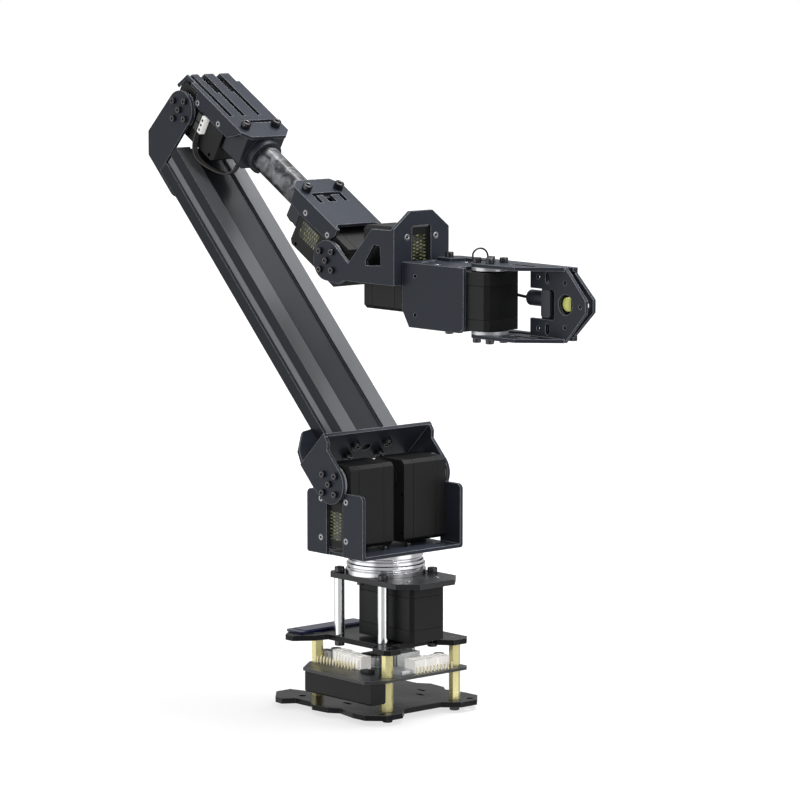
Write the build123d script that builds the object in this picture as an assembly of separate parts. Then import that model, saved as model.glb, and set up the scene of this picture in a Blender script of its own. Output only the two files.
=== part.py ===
from build123d import *
import os
from math import cos, radians, sin

# A desktop robot arm with seven servos: a turning base, shoulder, elbow, wrist pitch, wrist roll
# and a gripper with one fixed and one moving jaw. The origin is on the ground under the axis of
# the turntable. Z is up, and the arm points along +X. All sizes are in millimetres.

# Servo: all seven are alike. In a servo's own frame the output axis is Z and the case lies to +X.
servo_length = 45.2
servo_width = 24.7
servo_height = 30.6
servo_tail = 10.1
servo_corner = 2.0
front_cover_height = 6.0
back_cover_height = 7.0
seam_bevel = 0.25
boss_radius = 6.5
boss_height = 0.3
shaft_radius = 4.0
shaft_reach = 3.7
bore_depth = 4.0
run_clearance = 0.05
face_screw_near = 9.0
face_screw_far = 30.3
face_screw_side = 10.35
face_hole_depth = 4.5

# Horn: the metal disc on a servo's output, and its twin on the back
horn_gap = 0.6
horn_radius = 10.0
horn_thickness = 1.9
horn_screw_side = 5.0

# Sheet metal and screws
sheet = 2.0
bend_radius = 1.6
hole_clearance = 0.05
small_head_radius = 1.9
small_head_height = 1.9
small_shank_radius = 1.0
round_head_radius = 2.25
round_head_height = 2.8
horn_shank_length = 3.6
cap_head_radius = 2.75
cap_head_height = 3.0
cap_shank_radius = 1.5
cap_socket_radius = 1.45
low_head_radius = 2.6
low_head_height = 1.6
flush_head_radius = 1.7
flush_head_height = 1.0
flush_proud = 0.2

# Base
foot_height = 3.0
plate_thickness = 3.0
standoff_x = 29.0
standoff_y = 24.5
standoff_flats = 5.5
lower_standoff_length = 17.0
upper_standoff_length = 13.0
stud_length = 4.0
tapped_depth = 6.0
board_thickness = 1.6
post_side = 18.0
post_radius = 2.9
post_length = 32.0
foot_hole_x = 33.0
foot_hole_y = 32.0
foot_hole_radius = 2.1

# Turntable
ring_radius = 22.0
ring_bore_radius = 15.0
ring_height = 6.0
ring_gap = 0.3
turn_ring_radius = 20.7
turn_ring_top = 12.6
turn_floor_x = (-23.5, 22.5)
turn_wall_drop = 4.4
turn_slot_width = 13.5
turn_slot_middle = -0.6
shoulder_x = -1.7
shoulder_floor_gap = 2.5
shoulder_servo_gap = 7.7

# Upper arm, in its own frame: the shoulder axis at the origin and Z along the profile
upper_lean = 44.26
web_height = 21.0
ear_back = -12.0
ear_front = 15.0
shoulder_ear_radius = 11.0
profile_width = 40.0
profile_depth = 20.0
profile_length = 209.5
elbow_x = 27.2
elbow_above_profile = 13.1
ear_above_profile = 0.7
back_plate_rise = 14.0
back_plate_overlap = 18.5
back_screw_drop = 9.0

# Forearm, in its own frame: the elbow axis at the origin and X along the tube
forearm_pitch = 31.0
forearm_length = 148.6
deck_height = 15.5
tube_radius = 8.0
tube_wall = 1.0
tube_height = 5.0
rear_clamp_collar = 5.5
rear_clamp_half_width = 13.6
front_clamp_half_width = 15.0
lead_wire_radius = 0.6
lamp_wire_radius = 0.8

# Wrist and gripper, in the wrist's frame: the wrist axis at the origin and X forward
roll_drop = 14.6
wrist_plate_front = 55.2
wrist_plate_bottom = -10.0
gusset_top = 19.6
dome_top = 29.5
gripper_x = 109.5
gripper_wall_front = 104.0
gripper_flange_front = 97.5
jaw_half_height = 19.8
jaw_tip_half_height = 3.2
fixed_jaw_start = 130.0
fixed_jaw_screw = (67.0, 9.6)
fixed_arm_gap = 12.7
fixed_jaw_corner = 155.0
fixed_jaw_tip = 168.5
fixed_tip_half_height = 3.4
lamp_height = 1.9
lamp_tail_x = 127.0
lamp_boss_x = 156.0
lamp_boss_radius = 4.2

# Moving jaw, in its own frame: the jaw axis at the origin and X along the finger
finger_y = (10.0, 12.0)
jaw_ear_radius = 10.0
finger_back = 20.0
finger_corner = 45.9
finger_tip = 61.3
finger_hole_radius = 5.4
notch_depth = 18.2
notch_z = (-8.4, 7.4)

# Sizes that follow from those above
horn_stack = horn_gap + horn_thickness
ear_inner = servo_height / 2 + horn_stack
ear_outer = ear_inner + sheet
base_top = foot_height + plate_thickness
board_bottom = base_top + lower_standoff_length
board_top = board_bottom + board_thickness
mid_bottom = board_top + upper_standoff_length
mid_top = mid_bottom + plate_thickness
servo_plate_bottom = mid_top + post_length
servo_plate_top = servo_plate_bottom + plate_thickness
turn_floor = servo_plate_top + turn_ring_top
turn_wall_inner = shoulder_servo_gap / 2 + servo_height
turn_wall_outer = turn_wall_inner + sheet
shoulder_rise = sheet + shoulder_floor_gap + servo_length - servo_tail
turn_wall_height = shoulder_rise - turn_wall_drop
shoulder_z = turn_floor + shoulder_rise
shoulder_ear_inner = turn_wall_inner + horn_stack
shoulder_ear_outer = shoulder_ear_inner + sheet
profile_start = web_height + sheet
profile_end = profile_start + profile_length
elbow_z = profile_end + elbow_above_profile
back_plate_bottom = profile_end - back_plate_overlap
back_plate_top = profile_end + back_plate_rise
elbow_end = servo_length - servo_tail
wrist_end = forearm_length - elbow_end
rear_clamp_x = (elbow_end + 0.9, elbow_end + 17.6)
front_clamp_x = (wrist_end - 10.0, wrist_end - 0.7)
rear_clamp_screw = (elbow_end + 9.6, 10.9)
front_clamp_screw = (wrist_end - 6.6, 11.5)
tube_x = (rear_clamp_x[0] + 2.0, wrist_end - 2.5)
jaw_floor = servo_height / 2 + horn_stack + sheet

nodes = {}


# Shapes

def block(x, y, z):
    """A box between two limits along each axis."""
    size = [limits[1] - limits[0] for limits in (x, y, z)]
    middle = [sum(limits) / 2 for limits in (x, y, z)]
    return Pos(*middle) * Box(*size)


def rod(radius, low, high, at=(0, 0)):
    """A round bar along Z between two heights."""
    return Pos(at[0], at[1], (low + high) / 2) * Cylinder(radius, high - low)


def outline(points):
    return make_face(Polyline(*points, close=True))


def slab(points, low, high):
    """A plate across Z with an outline in X and Y."""
    return Pos(0, 0, low) * extrude(outline(points), high - low)


def wall_y(shape, low, high):
    """A plate across Y from a flat shape drawn in X and Z."""
    side = Plane(origin=(0, high, 0), x_dir=(1, 0, 0), z_dir=(0, -1, 0))
    return extrude(side * shape, high - low)


def wall_x(shape, low, high):
    """A plate across X from a flat shape drawn in Y and Z."""
    return extrude(Plane.YZ.offset(low) * shape, high - low)


def mirrored(points):
    """A closed outline from its half on the +Y side, listed from front to back."""
    return points + [(x, -y) for x, y in reversed(points)]


def four(x, y):
    return [(sx * x, sy * y) for sx in (-1, 1) for sy in (-1, 1)]


def facing(origin, direction, along=None):
    """A place whose Z points the given way, with X along the second direction."""
    return Plane(origin=origin, x_dir=along, z_dir=direction).location


def group(pieces):
    """Separate solids that share one node."""
    return Compound([solid for piece in pieces for solid in piece.solids()])


# Screws: each stands on Z = 0 with its shank below

def small_screw(shank_length=horn_shank_length):
    head = rod(small_head_radius, 0, small_head_height)
    return head + rod(small_shank_radius, -shank_length, 0)


def round_screw(shank_length=horn_shank_length):
    head = rod(round_head_radius, 0, round_head_height)
    return head + rod(small_shank_radius, -shank_length, 0)


def cap_screw(shank_length, head_height=cap_head_height):
    socket = Pos(0, 0, head_height / 2) * extrude(RegularPolygon(cap_socket_radius, 6), head_height)
    head = rod(cap_head_radius, 0, head_height) - socket
    return head + rod(cap_shank_radius, -shank_length, 0)


def flush_screw(thickness=sheet):
    head = rod(flush_head_radius, flush_proud - flush_head_height, flush_proud)
    return head + rod(small_shank_radius, -thickness - face_hole_depth + 1, 0)


def flush_seat(thickness=sheet):
    """The stepped hole in a sheet that takes a flush screw."""
    seat = rod(flush_head_radius + hole_clearance, flush_proud - flush_head_height, 1)
    return seat + rod(small_shank_radius + hole_clearance, -thickness - 1, 0)


# Servo

servo_front = servo_height / 2
face_screw_places = [(x, y) for x in (face_screw_near, face_screw_far)
                     for y in (-face_screw_side, face_screw_side)]
horn_screw_places = four(horn_screw_side, horn_screw_side)


def servo_outline(inset=0.0):
    """The case seen along its axis: a rectangle with bevelled corners."""
    back = -servo_tail + inset
    front = servo_length - servo_tail - inset
    side = servo_width / 2 - inset
    bevel = servo_corner
    return [(front - bevel, side), (back + bevel, side), (back, side - bevel),
            (back, bevel - side), (back + bevel, -side), (front - bevel, -side),
            (front, bevel - side), (front, side - bevel)]


def servo_cover(height):
    """One end cover, its outer face at Z = servo_front, with the bearing bore and tapped holes."""
    bottom = servo_front - height
    foot = loft([Pos(0, 0, bottom) * outline(servo_outline(seam_bevel)),
                 Pos(0, 0, bottom + seam_bevel) * outline(servo_outline())])
    cover = foot + slab(servo_outline(), bottom + seam_bevel, servo_front)
    cover += rod(boss_radius, servo_front, servo_front + boss_height)
    cover -= rod(shaft_radius + run_clearance, servo_front - bore_depth, servo_front + sheet)
    for place in face_screw_places:
        cover -= rod(small_shank_radius + hole_clearance, servo_front - face_hole_depth,
                     servo_front + sheet, place)
    return cover


def servo_body():
    return slab(servo_outline(), back_cover_height - servo_front, servo_front - front_cover_height)


def horn():
    """A disc with a stub shaft that turns in the cover's bore."""
    low = servo_front + horn_gap
    disc = rod(horn_radius, low, low + horn_thickness)
    disc += rod(shaft_radius, servo_front - shaft_reach, low)
    for place in horn_screw_places + [(0, 0)]:
        disc -= rod(small_shank_radius + hole_clearance, servo_front - shaft_reach + sheet,
                    low + 2 * horn_thickness, place)
    return disc


turned_over = Rot(180, 0, 0)
servo_parts = {
    "body": servo_body(),
    "covers": [servo_cover(front_cover_height), turned_over * servo_cover(back_cover_height)],
    "horn": horn()}
ear_face = servo_front + horn_stack + sheet


def add_servo(name, place):
    nodes[name + "_servo_body"] = place * servo_parts["body"]
    nodes[name + "_servo_covers"] = group([place * cover for cover in servo_parts["covers"]])


def horn_pair(first, second):
    return group([first * servo_parts["horn"], second * servo_parts["horn"]])


def horn_screw_spots(place):
    """Places of the five screws that hold a bracket on a horn."""
    return [place * Pos(x, y, ear_face) for x, y in horn_screw_places + [(0, 0)]]


def face_screw_spots(place, height=servo_front + sheet, which=face_screw_places):
    """Places of the flush screws that hold a sheet on a servo's face."""
    return [place * Pos(x, y, height) for x, y in which]


# Places of the servos: the shoulder pair is in the world's frame, the others in their links'

base_place = Pos(0, 0, servo_plate_bottom - servo_front)
shoulder_side = shoulder_servo_gap / 2 + servo_front
left_place = facing((shoulder_x, -shoulder_side, shoulder_z), (0, -1, 0), (0, 0, -1))
right_place = facing((shoulder_x, shoulder_side, shoulder_z), (0, 1, 0), (0, 0, -1))
upper_frame = Location((shoulder_x, 0, shoulder_z), (0, -upper_lean, 0))
lean = radians(upper_lean)
elbow_point = (shoulder_x + elbow_x * cos(lean) - elbow_z * sin(lean), 0,
               shoulder_z + elbow_x * sin(lean) + elbow_z * cos(lean))
forearm_frame = Location(elbow_point, (0, forearm_pitch, 0))
pitch = radians(forearm_pitch)
wrist_point = (elbow_point[0] + forearm_length * cos(pitch), 0,
               elbow_point[2] - forearm_length * sin(pitch))
wrist_frame = Location(wrist_point)
elbow_local = facing((0, 0, 0), (0, -1, 0), (1, 0, 0))
wrist_local = facing((forearm_length, 0, 0), (0, -1, 0), (-1, 0, 0))
roll_back = wrist_plate_front - sheet - servo_front
roll_local = facing((roll_back, 0, -roll_drop), (1, 0, 0), (0, 0, 1))


# Base

def base_plate():
    """The foot plate: four lobes with a tab on each long side."""
    half = [(38, 21.5), (38, 33), (29.5, 41.2), (19.5, 41.2), (6, 38.5), (0.5, 42.5), (-11.5, 43.5),
            (-18, 38.8), (-30.7, 38.8), (-35, 45.5), (-41.3, 44.6), (-52, 35), (-52, 25),
            (-41.2, 21.5)]
    front = [(30, 0), (30, 13)]
    plate = slab(mirrored(front[1:] + half), foot_height, base_top)
    middle = foot_height + plate_thickness / 2
    for x, y in four(standoff_x, standoff_y):
        plate -= rod(cap_shank_radius + hole_clearance, 0, base_top + 1, (x, y))
    for x, y in four(foot_hole_x, foot_hole_y):
        plate -= rod(foot_hole_radius, 0, base_top + 1, (x, y))
    slots = [(-1, 27), (-1, -27), (7.5, 18.5), (7.5, -18.5), (-20, 0)]
    for x, y in slots:
        plate -= Pos(x, y, middle) * extrude(SlotOverall(6.4, 2.4), plate_thickness, both=True)
    return plate


def standoff(low, length, stud):
    """A hex pillar, tapped at its foot, with a stud or a tapped hole on top."""
    pillar = Pos(0, 0, low) * extrude(
        RegularPolygon(standoff_flats / 2, 6, major_radius=False), length)
    top = low + length
    pillar -= rod(cap_shank_radius + hole_clearance, low - 1, low + tapped_depth)
    if stud:
        return pillar + rod(cap_shank_radius, top, top + stud_length)
    return pillar - rod(cap_shank_radius + hole_clearance, top - tapped_depth, top + 1)


def driver_board():
    edge = [(36, 27), (33, 30), (-30, 30), (-33, 27), (-33, -27), (-22, -41), (30, -42), (36, -31)]
    board = slab(edge, board_bottom, board_top)
    for x, y in four(standoff_x, standoff_y):
        board -= rod(cap_shank_radius + hole_clearance, board_bottom - 1, board_top + 1, (x, y))
    return board


plug_height = 7.0
plug_size = (8.5, 7.0)
plug_spots = [(-19, -15), (-9, -17), (1, -19), (27, -3), (27, 6), (27, 15)]


def board_plug(x, y):
    """A white socket with two slots in its top."""
    width, depth = plug_size
    top = board_top + plug_height
    plug = block((x - width / 2, x + width / 2), (y - depth / 2, y + depth / 2), (board_top, top))
    for side in (-1, 1):
        plug -= block((x - width / 3, x + width / 3), (y + side * 1.6 - 0.7, y + side * 1.6 + 0.7),
                      (top - 3, top + 1))
    return plug


def board_cooler():
    """A finned block beside the plugs, and a flat metal can."""
    base = block((6, 19), (-8, 8), (board_top, board_top + 1.5))
    for step in range(7):
        x = 6 + step * 2.0
        base += block((x, x + 1.0), (-8, 8), (board_top + 1.5, board_top + 9))
    can = block((20, 32), (-16.5, -8.5), (board_top, board_top + 2.6))
    return group([base, can])


def power_module():
    """The boxed converter that hangs under the board."""
    box = block((-22.7, 32), (-39, -28.5), (board_bottom - 12, board_bottom))
    return chamfer(box.edges().filter_by(Axis.X).group_by(Axis.Z)[0], 0.8)


def mid_plate():
    """The middle plate, with a long lobe for the display and lobes over the standoffs."""
    edge = [(25, 12), (29, 12), (36, 18), (36, 27), (32, 31), (-38, 31), (-46, 24), (-46, -30),
            (-38, -40), (-32, -40), (-25.5, -31), (-23, -22), (17, -22), (23, -30), (33, -31),
            (36, -28), (36, -21), (30, -18), (25, -18)]
    plate = slab(edge, mid_bottom, mid_top)
    spots = four(standoff_x, standoff_y) + four(post_side, post_side)
    for spot in spots:
        plate -= rod(cap_shank_radius + hole_clearance, mid_bottom - 1, mid_top + 1, spot)
    for spot in spots[:4]:
        plate -= rod(low_head_radius + hole_clearance, mid_top - low_head_height, mid_top + 1, spot)
    return plate


display_x = (-45.5, -32.2)
display_y = (-33.5, 16.0)
display_height = 1.2


def display_module():
    """A flat display on the long lobe, with a screen that stands a little proud."""
    low, high = mid_top, mid_top + display_height
    body = block(display_x, display_y, (low, high))
    body = chamfer(body.edges().filter_by(Axis.Z), 1.0)
    screen = block((display_x[0] + 1.5, display_x[1] - 1.5), (display_y[0] + 4, display_y[1] - 4),
                   (high, high + 0.3))
    return body + screen


def chrome_post():
    post = rod(post_radius, mid_top, servo_plate_bottom)
    for low, high in ((mid_top - 1, mid_top + tapped_depth),
                      (servo_plate_bottom - tapped_depth, servo_plate_bottom + 1)):
        post -= rod(cap_shank_radius + hole_clearance, low, high)
    return post


ring_screw_spots = [Pos(18.5 * cos(radians(angle)), 18.5 * sin(radians(angle)), servo_plate_bottom)
                    * Rot(180, 0, 0) for angle in (90, 180, 270)]


def servo_plate():
    """The top plate of the base, from which the turning servo hangs."""
    half = [(42.2, 12.6), (32.8, 22), (-21, 22), (-24, 19)]
    plate = slab(mirrored(half), servo_plate_bottom, servo_plate_top)
    plate -= rod(horn_radius + horn_gap, servo_plate_bottom - 1, servo_plate_top + 1)
    for spot in four(post_side, post_side):
        plate -= rod(cap_shank_radius + hole_clearance, servo_plate_bottom - 1, servo_plate_top + 1,
                     spot)
    for x, y in face_screw_places[2:]:
        plate -= Pos(x, y, servo_plate_top) * plate_seat
    for spot in ring_screw_spots:
        plate -= spot * rod(small_shank_radius + hole_clearance, -plate_thickness - 1, 1)
    return plate


plate_seat = flush_seat(plate_thickness)
plate_screw_spots = [Pos(x, y, servo_plate_top) for x, y in face_screw_places[2:]]


def base_screws():
    """The screws that the arm stands on, those of the board stack and those of the posts."""
    upside_down = Rot(180, 0, 0)
    pieces = []
    for x, y in four(standoff_x, standoff_y):
        foot = rod(cap_head_radius, 0, foot_height)
        pieces.append(Pos(x, y, 0) * (foot + rod(cap_shank_radius, foot_height, base_top + 4)))
        pieces.append(rod(low_head_radius, mid_top - low_head_height, mid_top, (x, y))
                      + rod(cap_shank_radius, mid_bottom - 4, mid_top - low_head_height, (x, y)))
    for x, y in four(post_side, post_side):
        pieces.append(Pos(x, y, mid_bottom) * upside_down * cap_screw(plate_thickness + 4))
        pieces.append(Pos(x, y, servo_plate_top) * cap_screw(plate_thickness + 4))
    return group(pieces)


def fixed_ring():
    """The lower half of the slewing ring, turned with two grooves."""
    low = servo_plate_top
    top = low + ring_height
    bore = ring_bore_radius + run_clearance
    section = [(bore, low), (ring_radius, low), (ring_radius, low + 2.6), (ring_radius - 1, low + 3.2),
               (ring_radius - 1, low + 3.8), (ring_radius - 0.4, low + 4.4), (ring_radius - 0.4, top),
               (bore, top)]
    ring = revolve(Plane.XZ * outline(section), Axis.Z)
    for spot in ring_screw_spots:
        ring -= spot * rod(small_shank_radius + hole_clearance, -plate_thickness - 6, 0)
    return ring


def turning_ring():
    """The upper half, which stands on the base servo's horn and carries the turntable."""
    horn_top = servo_plate_bottom + horn_stack
    step = servo_plate_top + 2 * ring_gap
    low = servo_plate_top + ring_height + ring_gap
    edge = turn_ring_radius
    section = [(0, horn_top), (horn_radius, horn_top), (horn_radius, step), (ring_bore_radius, step),
               (ring_bore_radius, low), (edge, low), (edge, low + 1.6), (edge - 0.9, low + 2.2),
               (edge - 0.9, low + 3.0), (edge - 0.2, low + 3.6), (edge - 0.2, turn_floor),
               (0, turn_floor)]
    return revolve(Plane.XZ * outline(section), Axis.Z)


add_servo("base", base_place)
nodes["base_plate"] = base_plate()
nodes["lower_standoffs"] = group(
    [Pos(x, y, 0) * standoff(base_top, lower_standoff_length, True)
     for x, y in four(standoff_x, standoff_y)])
nodes["driver_board"] = driver_board()
nodes["board_plugs"] = group([board_plug(x, y) for x, y in plug_spots])
nodes["board_cooler"] = board_cooler()
nodes["power_module"] = power_module()
nodes["upper_standoffs"] = group(
    [Pos(x, y, 0) * standoff(board_top, upper_standoff_length, False)
     for x, y in four(standoff_x, standoff_y)])
nodes["mid_plate"] = mid_plate()
nodes["display_module"] = display_module()
nodes["chrome_posts"] = group([Pos(x, y, 0) * chrome_post() for x, y in four(post_side, post_side)])
nodes["servo_plate"] = servo_plate()
nodes["base_screws"] = base_screws()
nodes["servo_plate_screws"] = group(
    [spot * flush_screw(plate_thickness) for spot in plate_screw_spots]
    + [spot * small_screw(plate_thickness + 4) for spot in ring_screw_spots])
nodes["slewing_ring_fixed"] = fixed_ring()


# Turntable

def turntable_bracket():
    """A U of sheet: the floor stands on the ring, the slotted walls hold the shoulder servos."""
    x0, x1 = turn_floor_x
    top = turn_floor + turn_wall_height
    outer = block((x0, x1), (-turn_wall_outer, turn_wall_outer), (turn_floor, top))
    outer = fillet(outer.edges().filter_by(Axis.X).group_by(Axis.Z)[0], bend_radius)
    outer = fillet(outer.edges().filter_by(Axis.Y).group_by(Axis.Z)[-1], 3.0)
    inner = block((x0 - 1, x1 + 1), (-turn_wall_inner, turn_wall_inner),
                  (turn_floor + sheet, top + 1))
    bracket = outer - inner
    half_slot = turn_slot_width / 2
    slot = block((turn_slot_middle - half_slot, turn_slot_middle + half_slot),
                 (turn_wall_inner, turn_wall_outer + 1), (turn_floor - 1, top + 1))
    bracket -= slot
    bracket -= mirror(slot, Plane.XZ)
    horn_room = Pos(shoulder_x, 0, shoulder_z) * Rot(90, 0, 0) * Cylinder(
        horn_radius + horn_gap, 2 * turn_wall_outer + 2)
    bracket -= horn_room
    for place in (left_place, right_place):
        for spot in face_screw_spots(place):
            bracket -= spot * flush_seat()
    for x, y in turn_screw_spots:
        bracket -= Pos(x, y, turn_floor) * rod(small_shank_radius + hole_clearance, -1, sheet + 1)
    for x in (-14, 13):
        for y in (-27, 27):
            bracket -= Pos(x, y, turn_floor + sheet / 2) * extrude(
                SlotOverall(8, 3.2), sheet, both=True)
    return bracket


turn_screw_spots = [(12 * cos(radians(angle)), 12 * sin(radians(angle)))
                    for angle in range(45, 360, 90)]


def turn_screw_holes(ring):
    for x, y in turn_screw_spots:
        ring -= rod(small_shank_radius + hole_clearance, turn_floor - sheet, turn_floor + 1, (x, y))
    return ring


add_servo("shoulder_left", left_place)
add_servo("shoulder_right", right_place)
nodes["base_horn"] = base_place * servo_parts["horn"]
nodes["slewing_ring_turning"] = turn_screw_holes(turning_ring())
nodes["turntable_bracket"] = turntable_bracket()
nodes["turntable_screws"] = group(
    [spot * flush_screw() for place in (left_place, right_place)
     for spot in face_screw_spots(place)]
    + [Pos(x, y, turn_floor + sheet) * small_screw() for x, y in turn_screw_spots])


# Upper arm

def ear_holes(places):
    """Cutters for the five horn screws in each ear."""
    return [spot * rod(small_shank_radius + hole_clearance, -2 * sheet, 1)
            for place in places for spot in horn_screw_spots(place)]


upper_left = facing((0, -shoulder_side, 0), (0, -1, 0), (1, 0, 1))
upper_right = facing((0, shoulder_side, 0), (0, 1, 0), (1, 0, 1))
bracket_screw_spots = four(5.0, 11.5)


def upper_arm_bracket():
    """Two ears on the shoulder horns, joined by a web that the profile stands on."""
    top = profile_start
    front = [(shoulder_ear_radius, 0), (shoulder_ear_radius, 14.6), (14.2, 17.6), (ear_front, top)]
    sides = outline([(ear_back + 1, 0)] + front + [(ear_back, top), (ear_back, 7)])
    ear_shape = sides + Circle(shoulder_ear_radius)
    bracket = wall_y(ear_shape, shoulder_ear_inner, shoulder_ear_outer)
    bracket += wall_y(ear_shape, -shoulder_ear_outer, -shoulder_ear_inner)
    bracket += block((ear_back, ear_front), (-shoulder_ear_outer, shoulder_ear_outer),
                     (web_height, top))
    half = [(shoulder_ear_outer, web_height), (shoulder_ear_outer - 3, 31.5), (26.5, 43),
            (17, 44.5)]
    flange = outline(half + [(-y, z) for y, z in reversed(half)])
    bracket += wall_x(flange, ear_back, ear_back + sheet)
    for x, y in bracket_screw_spots:
        bracket -= rod(cap_shank_radius + hole_clearance, web_height - 1, top + 1, (x, y))
    bracket -= rod(3.0, web_height - 1, top + 1, (0, 0))
    for cutter in ear_holes((upper_left, upper_right)):
        bracket -= cutter
    return bracket


def profile_section():
    """The extrusion's section: T-slots in the narrow sides and a shallow recess in the broad."""
    half_depth, half_width = profile_depth / 2, profile_width / 2
    section = Rectangle(profile_depth, profile_width)
    for side in (-1, 1):
        section -= Pos(0, side * (half_width - 1)) * Rectangle(6.2, 2.4)
        section -= Pos(0, side * (half_width - 4.1)) * Rectangle(11.0, 4.4)
        section -= Pos(side * half_depth, 0) * Rectangle(3.4, 20.0)
    section -= Rectangle(12.6, 16.0)
    for x, y in bracket_screw_spots:
        section -= Pos(x, y) * Circle(cap_shank_radius + hole_clearance)
    return section


def upper_arm_profile():
    return Pos(0, 0, profile_start) * extrude(profile_section(), profile_length)


def elbow_bracket():
    """A back plate on the profile, with two ears that reach forward to the elbow's horns."""
    circle = Pos(elbow_x, elbow_z) * Circle(shoulder_ear_radius)
    top = elbow_z + shoulder_ear_radius
    low = profile_end + ear_above_profile
    body = outline([(ear_back, low), (ear_back, back_plate_top), (-2.5, top - 0.3), (elbow_x, top),
                    (elbow_x + 2, elbow_z - shoulder_ear_radius + 0.4), (-5, low - 0.2)])
    ear_shape = body + circle
    bracket = wall_y(ear_shape, ear_inner, ear_outer)
    bracket += wall_y(ear_shape, -ear_outer, -ear_inner)
    back = Pos(0, (back_plate_bottom + back_plate_top) / 2) * RectangleRounded(
        2 * ear_outer, back_plate_top - back_plate_bottom, 3.5)
    bracket += wall_x(back, ear_back, ear_back + sheet)
    for spot in back_screw_spots:
        bracket -= spot * rod(cap_shank_radius + hole_clearance, -2 * sheet, 1)
    for cutter in ear_holes((elbow_from_upper, elbow_from_upper * turned_over)):
        bracket -= cutter
    return bracket


elbow_from_upper = Pos(elbow_x, 0, elbow_z) * facing((0, 0, 0), (0, -1, 0), (1, 0, 1))
back_screw_spots = [facing((ear_back, y, profile_end - back_screw_drop), (-1, 0, 0), (0, 1, 0))
                    for y in (-13.5, 13.5)]


def upper_arm_screws():
    pieces = [spot * small_screw() for place in (upper_left, upper_right, elbow_from_upper,
                                                elbow_from_upper * turned_over)
              for spot in horn_screw_spots(place)]
    under_web = facing((0, 0, web_height), (0, 0, -1), (1, 0, 0))
    pieces += [under_web * Pos(x, y, 0) * cap_screw(8) for x, y in bracket_screw_spots]
    pieces += [spot * cap_screw(5, 2.0) for spot in back_screw_spots]
    return group(pieces)


def profile_with_back_holes():
    """The profile, tapped for the screws of the elbow bracket."""
    profile = upper_arm_profile()
    for spot in back_screw_spots:
        profile -= spot * rod(cap_shank_radius + hole_clearance, -6, 0)
    return profile


nodes["shoulder_horns"] = horn_pair(upper_frame * upper_left, upper_frame * upper_right)
nodes["upper_arm_bracket"] = upper_frame * upper_arm_bracket()
nodes["upper_arm_profile"] = upper_frame * profile_with_back_holes()
nodes["elbow_bracket"] = upper_frame * elbow_bracket()
nodes["upper_arm_screws"] = upper_frame * upper_arm_screws()
elbow_place = upper_frame * elbow_from_upper
nodes["elbow_horns"] = horn_pair(elbow_place, elbow_place * turned_over)


# Forearm

deck_top = deck_height + sheet
flange_outer = servo_front + sheet
deck_tail_slots = (-12.8, -3.8, 7.3)
upper_face_screws = {
    "elbow": [(face_screw_near, face_screw_side), (face_screw_far, face_screw_side)],
    "wrist": [(face_screw_near, -face_screw_side), (face_screw_far, -face_screw_side)]}
forearm_places = {"elbow": elbow_local, "wrist": wrist_local}


def add_tabs(deck, points, name):
    """Two tabs of the deck's sheet that lie on the servo's faces, with their screw seats."""
    tab = wall_y(outline(points), -flange_outer, -servo_front)
    for spot in face_screw_spots(forearm_places[name], which=upper_face_screws[name]):
        tab -= spot * flush_seat()
    return deck + tab + mirror(tab, Plane.XZ)


def deck_screw_holes(deck, screw):
    for y in (-screw[1], screw[1]):
        deck -= rod(cap_shank_radius + hole_clearance, deck_height - 1, deck_top + 1, (screw[0], y))
    return deck


def forearm_rear_bracket():
    """A slotted deck over the elbow servo, bent down behind, with a tab on each side."""
    kink, tail_half_width = 2.1 - servo_tail, 15.0
    end = elbow_end
    front = [(end + 19.5, 12.2), (end + 14.4, flange_outer), (-1, flange_outer),
             (-1, tail_half_width), (kink, tail_half_width)]
    bracket = slab(mirrored(front), deck_height, deck_top)
    tail = outline([(kink, deck_height), (kink, deck_top), (kink - 1.2, deck_top),
                    (kink - 6.1, deck_top - 9.6), (kink - 4.3, deck_height - 8.5)])
    bracket += wall_y(tail, -tail_half_width, tail_half_width)
    tab = [(6.5, deck_top), (end + 13.4, deck_top), (end + 12.9, 14.5), (end + 5.4, 8.0), (6.5, 8.0)]
    bracket = add_tabs(bracket, tab, "elbow")
    for y in deck_tail_slots:
        bracket -= block((kink - 9, end - 1.6), (y - 1.3, y + 1.3), (0, deck_top + 1))
    for y in deck_tail_slots[1:]:
        bracket -= block((kink - 9, 10), (y - 3.4, y + 1.3), (0, deck_top + 1))
    bracket -= block((end + 3.2, end + 5.6), (-9, 13), (deck_height - 1, deck_top + 1))
    return deck_screw_holes(bracket, rear_clamp_screw)


def forearm_front_bracket():
    """The matching deck over the wrist servo."""
    end, tip = wrist_end, forearm_length - 3.6
    half = [(tip - 4.6, 13.4), (tip - 0.8, flange_outer), (end - 10.5, flange_outer), (end - 15.9, 12)]
    bracket = slab(mirrored(half), deck_height, deck_top)
    tab = [(end - 9, deck_top), (tip, deck_top), (tip, 13), (tip - 4, 8), (end, 7), (end - 9, 8.6)]
    bracket = add_tabs(bracket, tab, "wrist")
    cuts = [((-3.2, -1.0), (-10.8, 10.2)), ((-1.5, 6.0), (-10.8, -8.0)),
            ((-1.5, 5.6), (-3.4, 2.0)), ((-1.5, 5.6), (7.4, 10.2))]
    for x, y in cuts:
        bracket -= block((end + x[0], end + x[1]), y, (deck_height - 1, deck_top + 1))
    return deck_screw_holes(bracket, front_clamp_screw)


def across_x(shape, low, high):
    """A bar along the tube's line with the given section."""
    section = Plane(origin=(low, 0, tube_height), x_dir=(0, 1, 0), z_dir=(1, 0, 0)) * shape
    return extrude(section, high - low)


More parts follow.
